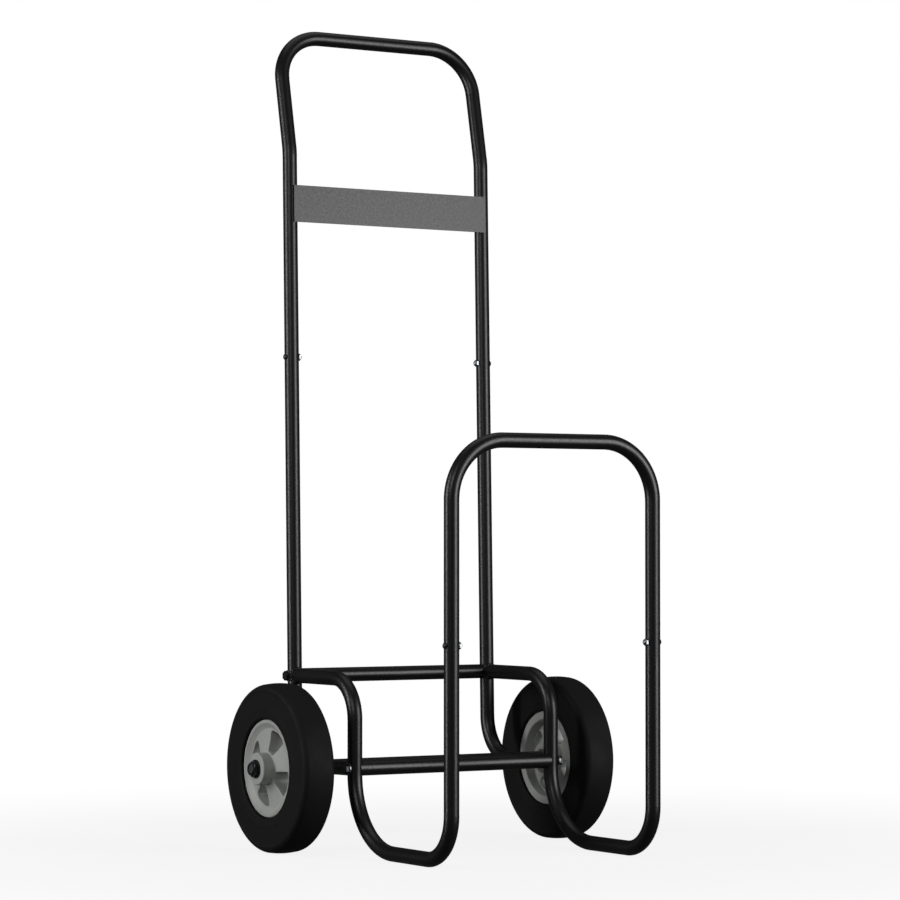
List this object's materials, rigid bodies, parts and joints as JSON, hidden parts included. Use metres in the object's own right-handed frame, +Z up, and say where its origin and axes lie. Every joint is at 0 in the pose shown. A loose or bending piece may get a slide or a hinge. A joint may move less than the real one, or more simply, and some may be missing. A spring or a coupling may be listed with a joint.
{
  "type": "firewood log rack",
  "caption": "Two-wheeled tubular steel firewood cart: open log bay between bent side rails, front hoop, tall bent-back handle with flat cross plate, solid tyres on plastic rims.",
  "frame": {"origin": "centre of the bounding box on the floor", "axes": "+X from the left wheel to the right wheel, along the axle; the hoop faces -Y and the handle is at +Y; +Z up from the floor"},
  "size_m": [0.598, 0.5364, 1.2641],
  "materials": {
    "frame_tube": "satin black powder coat",
    "plate": "satin charcoal powder coat",
    "black_hardware": "black zinc",
    "zinc_hardware": "zinc plated",
    "axle": "drawn steel",
    "rim": "moulded, satin",
    "tyre": "smooth solid rubber",
    "bush": "moulded nylon"
  },
  "bodies": {
    "frame": {"handle_tube": "frame_tube", "handle_plate": "plate", "left_upright": "frame_tube", "right_upright": "frame_tube", "left_side_rail": "frame_tube", "right_side_rail": "frame_tube", "front_hoop": "frame_tube", "rear_cross_tube": "frame_tube", "bay_cross_tube": "frame_tube", "cross_tube_plugs": "black_hardware", "handle_joint_bolts": "black_hardware", "handle_joint_nuts": "zinc_hardware", "hoop_joint_bolts": "black_hardware", "hoop_joint_nuts": "zinc_hardware", "cross_tube_bolts": "black_hardware", "cross_tube_washers": "zinc_hardware", "axle_rod": "axle", "axle_tube": "frame_tube", "left_axle_spacer": "frame_tube", "right_axle_spacer": "frame_tube", "inner_axle_washers": "zinc_hardware", "outer_axle_washers": "black_hardware", "axle_lock_nuts": "black_hardware"},
    "left_wheel": {"left_rim": "rim", "left_tyre": "tyre", "left_wheel_bushes": "bush"},
    "right_wheel": {"right_rim": "rim", "right_tyre": "tyre", "right_wheel_bushes": "bush"}
  },
  "joints": [
    {"name": "left_wheel_spin", "type": "hinge", "parent": "frame", "child": "left_wheel", "pos_m": [-0.2486, 0.11195, 0.127], "axis": [1, 0, 0], "continuous": true},
    {"name": "right_wheel_spin", "type": "hinge", "parent": "frame", "child": "right_wheel", "pos_m": [0.2486, 0.11195, 0.127], "axis": [1, 0, 0], "continuous": true}
  ]
}
